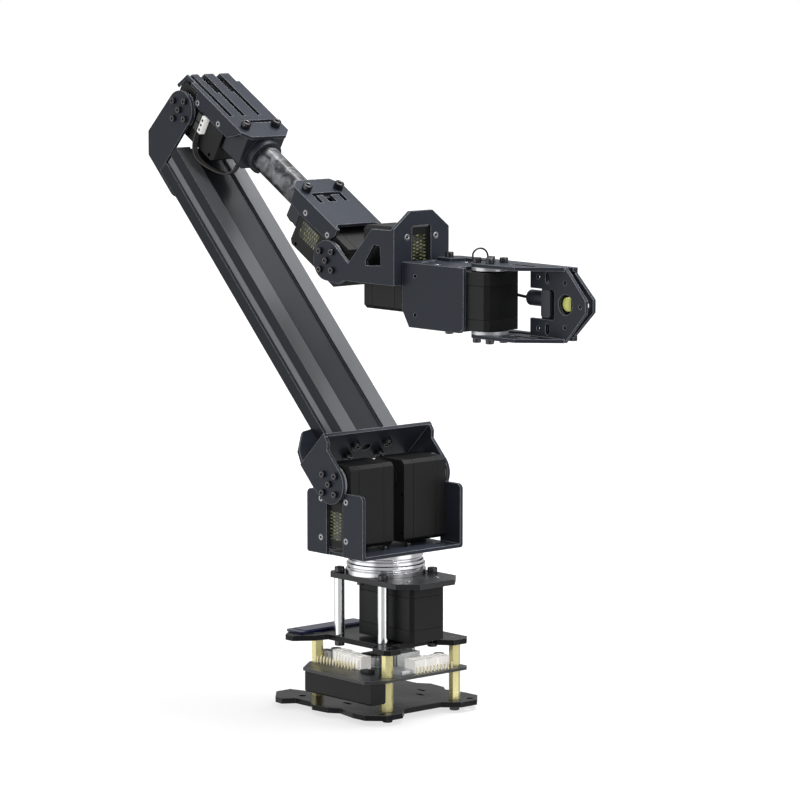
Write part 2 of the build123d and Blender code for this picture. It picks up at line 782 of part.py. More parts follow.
def tube_clamp(x_limits, half_width, screw, collar):
    """A block under the deck, slit below so that it grips the tube, with a collar in front."""
    low = tube_height - tube_radius - 2.0
    clamp = block(x_limits, (-half_width, half_width), (low, deck_height))
    clamp = chamfer(clamp.edges().filter_by(Axis.X).group_by(Axis.Z)[0], 3.5)
    if collar:
        clamp += across_x(Circle(tube_radius + 2.3), x_limits[1] - 1, x_limits[1] + collar)
    clamp -= across_x(Circle(tube_radius), x_limits[0] - 1, x_limits[1] + collar + 1)
    clamp -= block((x_limits[0] - 1, x_limits[1] + collar + 1), (-0.6, 0.6), (low - 2, tube_height))
    for y in (-screw[1], screw[1]):
        clamp -= rod(cap_shank_radius + hole_clearance, low - 1, deck_height + 1, (screw[0], y))
    return clamp


def carbon_tube():
    return across_x(Circle(tube_radius) - Circle(tube_radius - tube_wall), *tube_x)


def forearm_screws():
    pieces = []
    for x, y in (rear_clamp_screw, front_clamp_screw):
        for side in (-1, 1):
            pieces.append(Pos(x, side * y, deck_top) * cap_screw(16, 3.6))
    for name, place in forearm_places.items():
        for spot in face_screw_spots(place, which=upper_face_screws[name]):
            screw = spot * flush_screw()
            pieces += [screw, mirror(screw, Plane.XZ)]
    return group(pieces)


def lead_plugs():
    """Two white plugs side by side on the near face of the elbow servo."""
    back, front = -servo_front, -servo_front - 3.8
    return group([block((14.0, 21.0), (front, back), (low, low + 5.2)) for low in (-3.0, 2.6)])


lead_route = [(17.5, -3.0), (17.5, -11.0), (25.0, -17.5), (40.0, -17.0), (47.0, -12.5), (47.0, -5.0)]
lead_shift = [0, 0, 0, 6.0, 9.7, 9.7]


def lead(points, radius, name):
    """A wire whose bends follow from the lengths of its runs."""
    bends = []
    for before, here, after in zip(points, points[1:], points[2:]):
        into, out = Vector(*here) - Vector(*before), Vector(*after) - Vector(*here)
        half_turn = radians(into.get_angle(out)) / 2
        bends.append(0.45 * min(into.length, out.length) / (sin(half_turn) / cos(half_turn)))
    print(name, "bend radii:", [round(bend, 1) for bend in bends])
    route = FilletPolyline(*points, radius=bends)
    return sweep(Plane(origin=route @ 0, z_dir=route % 0) * Circle(radius), route)


def elbow_lead():
    """Three wires side by side, from the plugs down and forward to the rear clamp."""
    wires = []
    for step in (-1, 0, 1):
        start = -servo_front - 1.9 + step * (2 * lead_wire_radius + 0.05)
        points = [(x, start + shift, z) for (x, z), shift in zip(lead_route, lead_shift)]
        wires.append(lead(points, lead_wire_radius, "elbow_lead"))
    return group(wires)


elbow_servo_place = forearm_frame * elbow_local
add_servo("elbow", elbow_servo_place)
add_servo("wrist", forearm_frame * wrist_local)
nodes["forearm_rear_bracket"] = forearm_frame * forearm_rear_bracket()
nodes["rear_tube_clamp"] = forearm_frame * tube_clamp(
    rear_clamp_x, rear_clamp_half_width, rear_clamp_screw, rear_clamp_collar)
nodes["carbon_tube"] = forearm_frame * carbon_tube()
nodes["front_tube_clamp"] = forearm_frame * tube_clamp(
    front_clamp_x, front_clamp_half_width, front_clamp_screw, 0)
nodes["forearm_front_bracket"] = forearm_frame * forearm_front_bracket()
nodes["forearm_screws"] = forearm_frame * forearm_screws()
nodes["lead_plugs"] = forearm_frame * lead_plugs()
nodes["elbow_lead"] = forearm_frame * elbow_lead()


# Wrist

wrist_horn_local = facing((0, 0, 0), (0, -1, 0), (1, 0, 0))
wrist_ears = (wrist_horn_local, wrist_horn_local * turned_over)


def wrist_bracket():
    """Two webs on the wrist's horns and a domed front plate that holds the roll servo."""
    inner = wrist_plate_front - sheet
    side = outline([(0, -shoulder_ear_radius), (0, 0), (6.8, 8.6), (17.8, -0.5), (37.3, 19.5),
                    (inner + 0.5, gusset_top), (inner + 0.5, wrist_plate_bottom),
                    (14, wrist_plate_bottom), (10, -12.3)])
    window = outline([(39, 11.2), (43.8, 10.8), (44.8, 0.3), (32.3, -0.6), (31.8, 1.8)])
    side = side + Circle(shoulder_ear_radius) - window
    bracket = wall_y(side, ear_inner, ear_outer) + wall_y(side, -ear_outer, -ear_inner)
    dome = outline([(-ear_outer, wrist_plate_bottom), (ear_outer, wrist_plate_bottom),
                    (ear_outer, gusset_top + 0.7), (8, dome_top), (-8, dome_top),
                    (-ear_outer, gusset_top + 0.7)])
    dome -= Pos(0, 10.25) * RectangleRounded(13.6, 22.5, 1.5)
    dome -= Pos(0, -roll_drop) * Circle(horn_radius + 1.5)
    bracket += wall_x(dome, inner, wrist_plate_front)
    for spot in face_screw_spots(roll_local):
        bracket -= spot * flush_seat()
    for cutter in ear_holes(wrist_ears):
        bracket -= cutter
    return bracket


def wrist_screws():
    pieces = [spot * small_screw() for place in wrist_ears for spot in horn_screw_spots(place)]
    return group(pieces + [spot * flush_screw() for spot in face_screw_spots(roll_local)])


add_servo("roll", wrist_frame * roll_local)
nodes["wrist_horns"] = horn_pair(*[wrist_frame * ear for ear in wrist_ears])
nodes["wrist_bracket"] = wrist_frame * wrist_bracket()
nodes["wrist_screws"] = wrist_frame * wrist_screws()


# Gripper: drawn with its middle line on Z = 0, then set down by roll_drop

gripper_frame = wrist_frame * Pos(0, 0, -roll_drop)
gripper_servo_place = facing((gripper_x, 0, 0), (0, 0, -1), (-1, 0, 0))
roll_horn_place = facing((roll_back, 0, 0), (1, 0, 0), (0, 0, 1))
gripper_back = wrist_plate_front - sheet + horn_stack
gripper_side_inner = servo_width / 2
gripper_side_outer = gripper_side_inner + sheet
gripper_half_height = servo_front + sheet
far_screws = face_screw_places[2:]
jaw_screw_spots = [facing((*fixed_jaw_screw, side * (gripper_half_height + sheet)), (0, 0, side), (1, 0, 0))
                   for side in (-1, 1)]
side_hole_spots = [(gripper_back + 10.3, z) for z in (-face_screw_side, face_screw_side)]
gripper_faces = (gripper_servo_place, gripper_servo_place * turned_over)


def gripper_bracket():
    """A box open at the front: side plates, and a lid and floor that hold the servo."""
    foot_cut = 9.0
    bracket = block((gripper_back, gripper_back + sheet), (-gripper_side_outer, gripper_side_outer),
                    (foot_cut - gripper_half_height, gripper_half_height))
    side = outline([(gripper_back, gripper_half_height), (gripper_wall_front, gripper_half_height),
                    (gripper_wall_front, -gripper_half_height + 3),
                    (gripper_wall_front - 3, -gripper_half_height),
                    (gripper_back + 5.5, -gripper_half_height),
                    (gripper_back, foot_cut - gripper_half_height)])
    bracket += wall_y(side, gripper_side_inner, gripper_side_outer)
    bracket += wall_y(side, -gripper_side_outer, -gripper_side_inner)
    for start, low, high in ((gripper_back, servo_front, gripper_half_height),
                             (gripper_back + 5.5, -gripper_half_height, -servo_front)):
        bracket += block((start, gripper_flange_front), (-gripper_side_inner, gripper_side_inner),
                         (low, high))
    bracket -= Pos(gripper_back + 11, -8, 0) * Cylinder(1.5, 3 * gripper_half_height)
    bracket -= Pos(gripper_back + 8, 0, gripper_half_height) * Box(5, 9, 3 * sheet)
    for place in gripper_faces:
        for spot in face_screw_spots(place, which=far_screws):
            bracket -= spot * flush_seat()
    for spot in horn_screw_spots(roll_horn_place):
        bracket -= spot * rod(small_shank_radius + hole_clearance, -2 * sheet, 1)
    for spot in jaw_screw_spots:
        bracket -= spot * rod(small_shank_radius + hole_clearance, -3 * sheet, 1)
    for x, z in side_hole_spots:
        bracket -= Pos(x, 0, z) * Rot(90, 0, 0) * Cylinder(1.1, 3 * gripper_side_outer)
    return bracket


def fixed_jaw():
    """A U of sheet: two arms on the bracket's lid and floor, joined by the pointed finger plate."""
    y0, y1 = ear_inner, ear_outer
    z0, z1 = gripper_half_height, gripper_half_height + sheet
    x0 = fixed_jaw_screw[0] - 5
    arm = [(x0, 5), (x0, y1 - 3), (x0 + 3, y1), (fixed_jaw_corner, y1), (fixed_jaw_corner, y0 - 1.4),
           (gripper_x + 12, y0 - 1.4), (gripper_x - 5, fixed_arm_gap), (x0 + 14, fixed_arm_gap), (x0 + 11, 5)]
    upper = slab(arm, z0, z1)
    half = [(fixed_jaw_start, z1), (fixed_jaw_corner, z1), (fixed_jaw_corner, z0 - 1),
            (fixed_jaw_tip, fixed_tip_half_height)]
    jaw = upper + mirror(upper, Plane.XY)
    jaw += wall_y(outline(half + [(x, -z) for x, z in reversed(half)]), y0, y1)
    for spot in jaw_screw_spots:
        jaw -= spot * rod(small_shank_radius + hole_clearance, -2 * sheet, 1)
    for x, z, radius in ((146.5, 14.2, 1.5), (146.5, -14.2, 1.5), (164.0, 0, 1.5)):
        jaw -= facing((x, y0, z), (0, 1, 0), (1, 0, 0)) * rod(radius, -1, sheet + 1)
    return jaw


lamp_middle = 13.4


def lamp_module():
    """The marker lamp on the fixed jaw: a housing, its round tail and the emitter."""
    face = ear_inner
    body = block((138.6, 145.4), (9.0, face), (-7.4, 7.2))
    body = chamfer(body.edges().filter_by(Axis.Y), 1.0)
    tail = facing((lamp_tail_x, lamp_middle, lamp_height), (1, 0, 0), (0, 1, 0)) * rod(4.2, 0, 12.5)
    arm = block((145.0, lamp_boss_x), (face - 2.0, face), (-3.0, 3.0))
    emitter = facing((lamp_boss_x, face, 0.3), (0, -1, 0), (1, 0, 0)) * rod(lamp_boss_radius, 0, 3.8)
    return body + tail + arm + emitter


def lamp_wire():
    """The lamp's lead, from its round tail back to the side of the gripper servo."""
    middle = gripper_side_inner + sheet / 2
    points = [(lamp_tail_x, lamp_middle, lamp_height), (lamp_tail_x - 6, lamp_middle, lamp_height),
              (gripper_wall_front + 8, middle, 3.0), (gripper_wall_front, middle, 3.0)]
    return lead(points, lamp_wire_radius, "lamp_wire")


def gripper_screws():
    pieces = [spot * flush_screw() for place in gripper_faces
              for spot in face_screw_spots(place, which=far_screws)]
    pieces += [spot * small_screw() for spot in horn_screw_spots(roll_horn_place)]
    pieces += [spot * round_screw(2 * sheet + 1) for spot in jaw_screw_spots]
    return group(pieces)


add_servo("gripper", gripper_frame * gripper_servo_place)
nodes["roll_horn"] = gripper_frame * roll_horn_place * servo_parts["horn"]
nodes["gripper_bracket"] = gripper_frame * gripper_bracket()
nodes["gripper_screws"] = gripper_frame * gripper_screws()
nodes["fixed_jaw"] = gripper_frame * fixed_jaw()
nodes["lamp_module"] = gripper_frame * lamp_module()
nodes["lamp_wire"] = gripper_frame * lamp_wire()


# Moving jaw

jaw_frame = gripper_frame * Pos(gripper_x, 0, 0)
jaw_horn_place = facing((0, 0, 0), (0, 0, -1), (1, 0, 0))
jaw_ears = (jaw_horn_place, jaw_horn_place * turned_over)


def moving_jaw():
    """Two arms on the horns, joined by the upright finger plate."""
    y0, y1 = finger_y
    arm = outline([(0, -jaw_ear_radius), (3, -9.8), (27.5, -8.5), (finger_corner, y0 - 0.5),
                   (finger_corner, y1), (finger_back, y1), (3, jaw_ear_radius),
                   (0, jaw_ear_radius)])
    arm += Circle(jaw_ear_radius)
    arm -= Pos(23, 2.5) * SlotOverall(19, 5)
    jaw = extrude(Pos(0, 0, ear_inner) * arm, sheet)
    jaw += extrude(Pos(0, 0, -ear_outer) * arm, sheet)
    half = [(finger_back, jaw_half_height), (finger_corner, jaw_half_height),
            (finger_tip, jaw_tip_half_height)]
    finger = outline(half + [(x, -z) for x, z in reversed(half)])
    finger -= Pos(finger_back + notch_depth / 2, sum(notch_z) / 2) * RectangleRounded(
        notch_depth, notch_z[1] - notch_z[0], 1.5)
    finger -= Pos(finger_back, sum(notch_z) / 2) * Rectangle(6, notch_z[1] - notch_z[0])
    finger -= Pos(lamp_boss_x - gripper_x, 0.3) * Circle(finger_hole_radius)
    for z in (-13.5, 13.5):
        finger -= Pos(33, z) * RectangleRounded(3.2, 6.0, 1.5)
        finger -= Pos(26, z) * Circle(1.2)
        finger -= Pos(46, z * 0.85) * Circle(1.2)
    finger -= Pos(57.5, 0) * Circle(1.2)
    jaw += wall_y(finger, y0, y1)
    for cutter in ear_holes(jaw_ears):
        jaw -= cutter
    return jaw


nodes["jaw_horns"] = horn_pair(*[jaw_frame * ear for ear in jaw_ears])
nodes["moving_jaw"] = jaw_frame * moving_jaw()
nodes["jaw_screws"] = jaw_frame * group(
    [spot * round_screw() for place in jaw_ears for spot in horn_screw_spots(place)])


os.makedirs("parts", exist_ok=True)
for name, shape in nodes.items():
    export_step(shape, f"parts/{name}.step")
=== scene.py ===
from math import cos, pi, radians, sin

import bmesh
import bpy
import numpy as np
from mathutils import Matrix, Vector


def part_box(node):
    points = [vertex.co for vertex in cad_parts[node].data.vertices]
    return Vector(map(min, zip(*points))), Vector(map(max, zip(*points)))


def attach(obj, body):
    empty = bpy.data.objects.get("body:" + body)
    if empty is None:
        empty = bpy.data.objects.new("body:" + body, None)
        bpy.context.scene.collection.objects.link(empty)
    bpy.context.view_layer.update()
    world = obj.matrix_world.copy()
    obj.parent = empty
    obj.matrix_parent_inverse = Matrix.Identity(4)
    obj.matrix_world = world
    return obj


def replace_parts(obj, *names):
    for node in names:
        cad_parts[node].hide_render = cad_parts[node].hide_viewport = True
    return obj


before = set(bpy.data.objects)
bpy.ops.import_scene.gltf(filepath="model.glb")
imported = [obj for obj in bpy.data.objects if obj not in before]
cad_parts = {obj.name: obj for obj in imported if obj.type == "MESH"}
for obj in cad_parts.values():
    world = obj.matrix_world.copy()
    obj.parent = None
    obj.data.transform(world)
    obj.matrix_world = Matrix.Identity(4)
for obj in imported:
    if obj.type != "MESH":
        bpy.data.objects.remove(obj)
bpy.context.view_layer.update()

# Base plates. Two plates of glossy black plastic sheet carry the board stack, the lower one on
# four lobes. They are cut from sheet, so their faces are mirror-flat and their edges are a little
# lighter where the cutter has frosted them.


def material(name, color, roughness, metallic=0.0):
    """A new material with its Principled shader's constant sockets set."""
    made = bpy.data.materials.new(name)
    made.use_nodes = True
    shader = made.node_tree.nodes["Principled BSDF"]
    shader.inputs["Base Color"].default_value = (*color, 1)
    shader.inputs["Roughness"].default_value = roughness
    shader.inputs["Metallic"].default_value = metallic
    return made


def add(tree, kind, **inputs):
    """Adds a node; each input is a number, a tuple or another node's output socket."""
    node = tree.nodes.new(kind)
    for name, value in inputs.items():
        socket = node.inputs[int(name[1:]) if name[0] == "_" else name.replace("_", " ")]
        if isinstance(value, bpy.types.NodeSocket):
            tree.links.new(value, socket)
        else:
            socket.default_value = value
    return node


def feed(made, socket, output):
    """Links a node's output to a socket of the Principled shader."""
    made.node_tree.links.new(output, made.node_tree.nodes["Principled BSDF"].inputs[socket])


def painted_glow(made, color, strength):
    """A faint painted glow of its own, which keeps a part bright where it lies in shade."""
    shader = made.node_tree.nodes["Principled BSDF"]
    shader.inputs["Emission Color"].default_value = (*color, 1)
    shader.inputs["Emission Strength"].default_value = strength


def math(tree, operation, first, second=0.0):
    node = add(tree, "ShaderNodeMath", _0=first, _1=second)
    node.operation = operation
    return node.outputs[0]


def blend_colors(tree, factor, first, second):
    """First colour where the factor is 0, second where it is 1."""
    node = add(tree, "ShaderNodeMix")
    node.data_type = "RGBA"
    for index, value in ((0, factor), (6, first), (7, second)):
        if isinstance(value, bpy.types.NodeSocket):
            tree.links.new(value, node.inputs[index])
        else:
            node.inputs[index].default_value = value if index == 0 else (*value, 1)
    return node.outputs[2]


def ramp(tree, value, low, high, out_low=0.0, out_high=1.0):
    """The value stretched from low..high to out_low..out_high and clamped there."""
    node = add(tree, "ShaderNodeMapRange", Value=value)
    for name, number in (("From Min", low), ("From Max", high), ("To Min", out_low), ("To Max", out_high)):
        node.inputs[name].default_value = number
    return node.outputs[0]


def effect(name, inputs, outputs):
    """An empty shader node group with float inputs, each with its start value, and typed outputs."""
    tree = bpy.data.node_groups.new(name, "ShaderNodeTree")
    for label, value in inputs:
        socket = tree.interface.new_socket(label, in_out="INPUT", socket_type="NodeSocketFloat")
        socket.default_value = value
    for label, kind in outputs:
        tree.interface.new_socket(label, in_out="OUTPUT", socket_type=kind)
    return tree, tree.nodes.new("NodeGroupInput"), tree.nodes.new("NodeGroupOutput")


# Edges of every cut or moulded piece catch the light: the group gives the rounded normal and a
# mask that is 1 on outer edges, where the edge colour goes: partly wear, partly a painted highlight
soft_edges, taken, given = effect(
    "soft_edges", [("Radius", 0.0004), ("Wear", 0.5)],
    [("Normal", "NodeSocketVector"), ("Mask", "NodeSocketFloat")])
round_normal = add(soft_edges, "ShaderNodeBevel", Radius=taken.outputs["Radius"])
round_normal.samples = 6
flat_normal = add(soft_edges, "ShaderNodeNewGeometry").outputs["Normal"]
likeness = add(soft_edges, "ShaderNodeVectorMath", _0=round_normal.outputs[0], _1=flat_normal)
likeness.operation = "DOT_PRODUCT"
turn = math(soft_edges, "SUBTRACT", 1.0, likeness.outputs["Value"])
place = add(soft_edges, "ShaderNodeTexCoord").outputs["Object"]
patches = add(soft_edges, "ShaderNodeTexNoise", Vector=place, Scale=260.0, Detail=4.0)
patchy = ramp(soft_edges, patches.outputs["Fac"], 0.35, 0.65, 0.75, 1.0)
# The mask marks edges for wear and also for a painted highlight
wear_and_highlight_mask = math(soft_edges, "MULTIPLY", ramp(soft_edges, turn, 0.02, 0.16), patchy)
soft_edges.links.new(math(soft_edges, "MULTIPLY", wear_and_highlight_mask, taken.outputs["Wear"]), given.inputs["Mask"])
soft_edges.links.new(round_normal.outputs[0], given.inputs["Normal"])

# Handling leaves faint smears and dust on every surface: the group gives slow and fine noise
handling, taken, given = effect(
    "handling", [("Slow Scale", 40.0), ("Fine Scale", 900.0)],
    [("Slow", "NodeSocketFloat"), ("Fine", "NodeSocketFloat")])
place = add(handling, "ShaderNodeTexCoord").outputs["Object"]
for label in ("Slow", "Fine"):
    noise = add(handling, "ShaderNodeTexNoise", Vector=place, Scale=taken.outputs[label + " Scale"],
                Detail=5.0, Roughness=0.6)
    handling.links.new(noise.outputs["Fac"], given.inputs[label])


def placed(tree, group, **values):
    node = tree.nodes.new("ShaderNodeGroup")
    node.node_tree = group
    for label, value in values.items():
        node.inputs[label.replace("_", " ")].default_value = value
    return node


def finished(name, color, edge_color, roughness, spread, metallic=0.0, radius=0.0003, edge_wear_and_highlight=0.6,
             grain=0.1, grain_depth=0.00002, slow_scale=40.0, fine_scale=900.0, shift=0.12, gloss=0.5):
    """A material with soft edges in a lighter colour, partly wear and partly a painted highlight, uneven
    gloss, a slight drift of colour and fine grain.
    spread is how far the roughness wanders, shift how far the colour does, and gloss how
    strongly the surface mirrors."""
    made = material(name, color, roughness, metallic)
    made.node_tree.nodes["Principled BSDF"].inputs["Specular IOR Level"].default_value = gloss
    tree = made.node_tree
    edges = placed(tree, soft_edges, Radius=radius, Wear=edge_wear_and_highlight)
    handled = placed(tree, handling, Slow_Scale=slow_scale, Fine_Scale=fine_scale)
    slow, fine = handled.outputs["Slow"], handled.outputs["Fine"]
    darker = tuple(channel * (1 - shift) for channel in color)
    lighter = tuple(channel * (1 + shift) for channel in color)
    drift = blend_colors(tree, ramp(tree, slow, 0.3, 0.7), darker, lighter)
    drift.node.name = "drift"
    # Edges take the edge colour: partly wear, partly a painted highlight where light would catch them
    wear_and_highlight_color = blend_colors(tree, edges.outputs["Mask"], drift, edge_color)
    wear_and_highlight_color.node.name = "wear_and_highlight_color"
    feed(made, "Base Color", wear_and_highlight_color)
    feed(made, "Roughness", ramp(tree, slow, 0.3, 0.7, roughness - spread, roughness + spread))
    bump = add(tree, "ShaderNodeBump", Strength=grain, Distance=grain_depth, Height=fine,
               Normal=edges.outputs["Normal"])
    feed(made, "Normal", bump.outputs[0])
    return made


def dress(made, *nodes):
    """Gives CAD nodes their finish."""
    for name in nodes:
        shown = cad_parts[name]
        shown.data.materials.clear()
        shown.data.materials.append(made)


gloss_black = finished("gloss_black", (0.014, 0.0145, 0.016), (0.30, 0.305, 0.315), 0.24, 0.06,
                       edge_wear_and_highlight=0.8, grain=0.03, radius=0.0004, gloss=0.12)
dress(gloss_black, "base_plate", "mid_plate")

# Standoffs. Eight hexagonal pillars of bright brass hold the board between the plates. They are
# turned from bar and screwed into one another through the board's holes.

brass = finished("bright_brass", (0.93, 0.85, 0.42), (1.0, 0.97, 0.74), 0.27, 0.06, 0.6, edge_wear_and_highlight=0.5)
dress(brass, "lower_standoffs", "upper_standoffs")

# Driver board. A glass-fibre board under black lacquer, with copper tracks that show as faint
# lines. Chips, capacitors and rows of gilt pins stand on it between the sockets and the cooler.


def rounded_block(size, corner, rows, steps=4):
    """A moulded block as a grid. Its columns run once round a rectangle with four corner arcs, and
    its rows are (inset, height) pairs: each row is that outline drawn in by the inset, at that
    height. The first and last rows shrink to the middle, which closes the block. Returns the
    corners and, for each, its place across the block from 0 to 1."""
    angles = np.concatenate([quarter * pi / 2 + np.linspace(0, pi / 2, steps + 1) for quarter in range(4)])
    quadrant = np.repeat(np.arange(4), steps + 1) * pi / 2 + pi / 4
    inset, height = (np.array(column)[:, None] for column in zip(*rows))
    arc = np.maximum(corner - inset, 0.02 * corner)
    half = [np.maximum(side / 2 - inset - arc, 0) for side in size]
    x = np.sign(np.cos(quadrant)) * half[0] + arc * np.cos(angles)
    y = np.sign(np.sin(quadrant)) * half[1] + arc * np.sin(angles)
    shrink = np.where((inset >= min(size) / 2), 0.0, 1.0)
    grid = np.stack([x * shrink, y * shrink, np.broadcast_to(height, x.shape)], -1)
    across = np.stack([grid[..., 0] / size[0] + 0.5, grid[..., 1] / size[1] + 0.5], -1)
    return grid, across


def block_rows(height, bevel, middle):
    """Rows for a block with a bevelled top edge."""
    return [(middle, 0), (0, 0), (0, height - bevel), (0.3 * bevel, height - 0.3 * bevel),
            (bevel, height), (middle, height)]


def turned(rows, steps=24):
    """A turned piece as a grid: each (radius, height) row goes once round the axis."""
    angles = np.arange(steps) * 2 * pi / steps
    radius, height = (np.array(column)[:, None] for column in zip(*rows))
    return np.stack([radius * np.cos(angles), radius * np.sin(angles),
                     np.broadcast_to(height, (len(rows), steps))], -1)


def set_at(grid, origin, along=(1, 0, 0), up=(0, 0, 1)):
    """The grid moved from its own axes to a place: X along the first direction, Z along up."""
    up = np.array(up, float) / np.linalg.norm(up)
    along = np.array(along, float) - np.dot(along, up) * up
    along /= np.linalg.norm(along)
    return grid @ np.stack([along, np.cross(up, along), up]) + np.array(origin, float)


def piece(name, grids, made, body, marks=None, across=None, crease=35):
    """One mesh from closed grids, whose columns wrap round and whose end rows are poles. marks is
    one number for each row of each grid, kept as the attribute mark; across gives UV places."""
    corners, faces, values, places, start = [], [], [], [], 0
    for number, grid in enumerate(grids):
        rows, columns = grid.shape[:2]
        index = start + np.arange(rows * columns).reshape(rows, columns)
        after = np.roll(index, -1, 1)
        faces.append(np.stack([index[:-1], after[:-1], after[1:], index[1:]], -1).reshape(-1, 4))
        corners.append(grid.reshape(-1, 3))
        values.append(np.repeat(marks[number] if marks else np.zeros(rows), columns))
        places.append(across[number].reshape(-1, 2) if across else np.zeros((rows * columns, 2)))
        start += rows * columns
    mesh = bpy.data.meshes.new(name)
    mesh.from_pydata(np.concatenate(corners).tolist(), [], np.concatenate(faces).tolist())
    mark = mesh.attributes.new("mark", "FLOAT", "POINT")
    mark.data.foreach_set("value", np.concatenate(values).astype(np.float32))
    ends = np.empty(len(mesh.loops), int)
    mesh.loops.foreach_get("vertex_index", ends)
    mesh.uv_layers.new(name="place").data.foreach_set("uv", np.concatenate(places)[ends].ravel())
    edited = bmesh.new()
    edited.from_mesh(mesh)
    bmesh.ops.remove_doubles(edited, verts=edited.verts, dist=2e-7)
    bmesh.ops.recalc_face_normals(edited, faces=edited.faces)
    edited.to_mesh(mesh)
    edited.free()
    mesh.polygons.foreach_set("use_smooth", [True] * len(mesh.polygons))
    mesh.set_sharp_from_angle(angle=radians(crease))
    mesh.materials.append(made)
    shown = bpy.data.objects.new(name, mesh)
    bpy.context.scene.collection.objects.link(shown)
    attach(shown, body)
    return shown


board_black = finished("board_black", (0.02, 0.024, 0.028), (0.35, 0.33, 0.22), 0.32, 0.06, edge_wear_and_highlight=0.9)
tree = board_black.node_tree
place = add(tree, "ShaderNodeTexCoord").outputs["Object"]
tracks = add(tree, "ShaderNodeTexBrick", Vector=place, Color1=(1, 1, 1, 1), Color2=(1, 1, 1, 1),
             Mortar=(0, 0, 0, 1), Scale=260.0)
tracks.inputs["Mortar Size"].default_value = 0.06
raised = add(tree, "ShaderNodeBump", Strength=0.3, Distance=0.0001, Height=tracks.outputs["Fac"])
feed(board_black, "Normal", raised.outputs[0])
dress(board_black, "driver_board")

board_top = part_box("driver_board")[1].z
chip_black = finished("chip_black", (0.02, 0.02, 0.022), (0.1, 0.1, 0.1), 0.5, 0.05)
chips = [(-0.022, 0.010, 0.009, 0.009, 0.0016), (-0.006, 0.014, 0.007, 0.005, 0.0013),
         (0.010, 0.018, 0.008, 0.008, 0.0016), (-0.026, -0.005, 0.006, 0.006, 0.0022),
         (-0.013, -0.002, 0.010, 0.007, 0.0018), (0.012, -0.024, 0.007, 0.005, 0.0015)]
grids = [rounded_block((long, wide), 0.0004, block_rows(tall, 0.0003, 0.01))[0] + (x, y, board_top)
         for x, y, long, wide, tall in chips]
piece("board_chips", grids, chip_black, "base")

pin_gilt = finished("pin_gilt", (0.85, 0.78, 0.55), (1.0, 0.95, 0.8), 0.3, 0.05, 0.8)
pin_spots = [(-0.0285 + 0.00254 * step, y) for step in range(13) for y in (-0.0245, -0.0270)]
pin_spots += [(0.0345, -0.008 + 0.00254 * step) for step in range(11)]
pin_rows = [(0, 0), (0.0005, 0), (0.0005, 0.0034), (0.0002, 0.0040), (0, 0.0040)]
piece("board_pins", [turned(pin_rows, 8) + (x, y, board_top) for x, y in pin_spots], pin_gilt, "base")

can_grey = finished("can_grey", (0.62, 0.63, 0.65), (0.85, 0.85, 0.86), 0.3, 0.06, 0.8)
can_rows = [(0, 0), (0.0030, 0), (0.0031, 0.0007), (0.0028, 0.0011), (0.0031, 0.0015),
            (0.0031, 0.0058), (0.0028, 0.0062), (0.0024, 0.0060), (0, 0.0060)]
can_spots = [(-0.0285, -0.0185), (-0.0285, -0.0115), (0.004, -0.0108), (-0.004, 0.021), (0.020, 0.021)]
piece("board_cans", [turned(can_rows) + (x, y, board_top) for x, y in can_spots], can_grey, "base")

# Sockets. White nylon housings with thin walls round a deep well, in which the pins stand. The
# nylon has a faint painted glow, which keeps it pale in the shade between the plates, and ribs run
# down the outer face of each housing. The cooler beside them is bare aluminium.

socket_white = finished("socket_white", (0.93, 0.92, 0.89), (0.96, 0.95, 0.93), 0.42, 0.05, edge_wear_and_highlight=0.3,
                        radius=0.0002)
# Painted light: the sockets glow faintly so they stay pale in the shade between the plates
painted_glow(socket_white, (0.93, 0.92, 0.89), 0.35)
dress(socket_white, "board_plugs")
rib_rows = block_rows(0.0012, 0.0003, 0.002)
ribs = []
for x, y in ((-0.019, -0.015), (-0.009, -0.017), (0.001, -0.019)):
    for step in (-1, 0, 1):
        ribs.append(set_at(rounded_block((0.0016, 0.0052), 0.0003, rib_rows)[0],
                           (x + 0.0026 * step, y - 0.0035 + 0.0002, board_top + 0.0032),
                           up=(0, -1, 0)))
piece("socket_ribs", ribs, socket_white, "base")
cooler_metal = finished("cooler_metal", (0.66, 0.67, 0.69), (0.85, 0.85, 0.87), 0.34, 0.07, 0.8)
dress(cooler_metal, "board_cooler")

# Servos. Each case is three shells of black glass-filled nylon, screwed together: two covers
# with a fine sandy grain and a smoother middle shell.

case_black = finished("case_black", (0.009, 0.0092, 0.010), (0.06, 0.06, 0.065), 0.42, 0.06,
                      edge_wear_and_highlight=0.35, grain=0.25, grain_depth=0.00003, fine_scale=2600.0, gloss=0.2)
cover_black = finished("cover_black", (0.012, 0.0122, 0.013), (0.07, 0.07, 0.075), 0.48, 0.06,
                       edge_wear_and_highlight=0.35, grain=0.4, grain_depth=0.00004, fine_scale=2200.0, gloss=0.2)
servos = ("base", "shoulder_left", "shoulder_right", "elbow", "wrist", "roll", "gripper")
dress(case_black, "power_module", *[name + "_servo_body" for name in servos])
dress(cover_black, *[name + "_servo_covers" for name in servos])

# Servo labels. A glossy black foil on the horn's side of a servo, printed with rows of short
# yellow-green bars that stand for print and say nothing.

label_print = finished("label_print", (0.014, 0.014, 0.012), (0.05, 0.05, 0.05), 0.25, 0.05, edge_wear_and_highlight=0.0)
tree = label_print.node_tree
place = add(tree, "ShaderNodeUVMap").outputs["UV"]
bars = add(tree, "ShaderNodeTexBrick", Vector=place, Color1=(1, 1, 1, 1), Color2=(0.1, 0.1, 0.1, 1),
           Mortar=(0, 0, 0, 1), Scale=1.0)
bars.offset = 0.37
for label, value in (("Mortar Size", 0.034), ("Mortar Smooth", 0.1), ("Brick Width", 0.12),
                     ("Row Height", 0.25)):
    bars.inputs[label].default_value = value
print_mask = add(tree, "ShaderNodeSeparateColor", Color=bars.outputs["Color"]).outputs[0]
feed(label_print, "Base Color", blend_colors(tree, print_mask, (0.014, 0.014, 0.012), (0.36, 0.38, 0.16)))

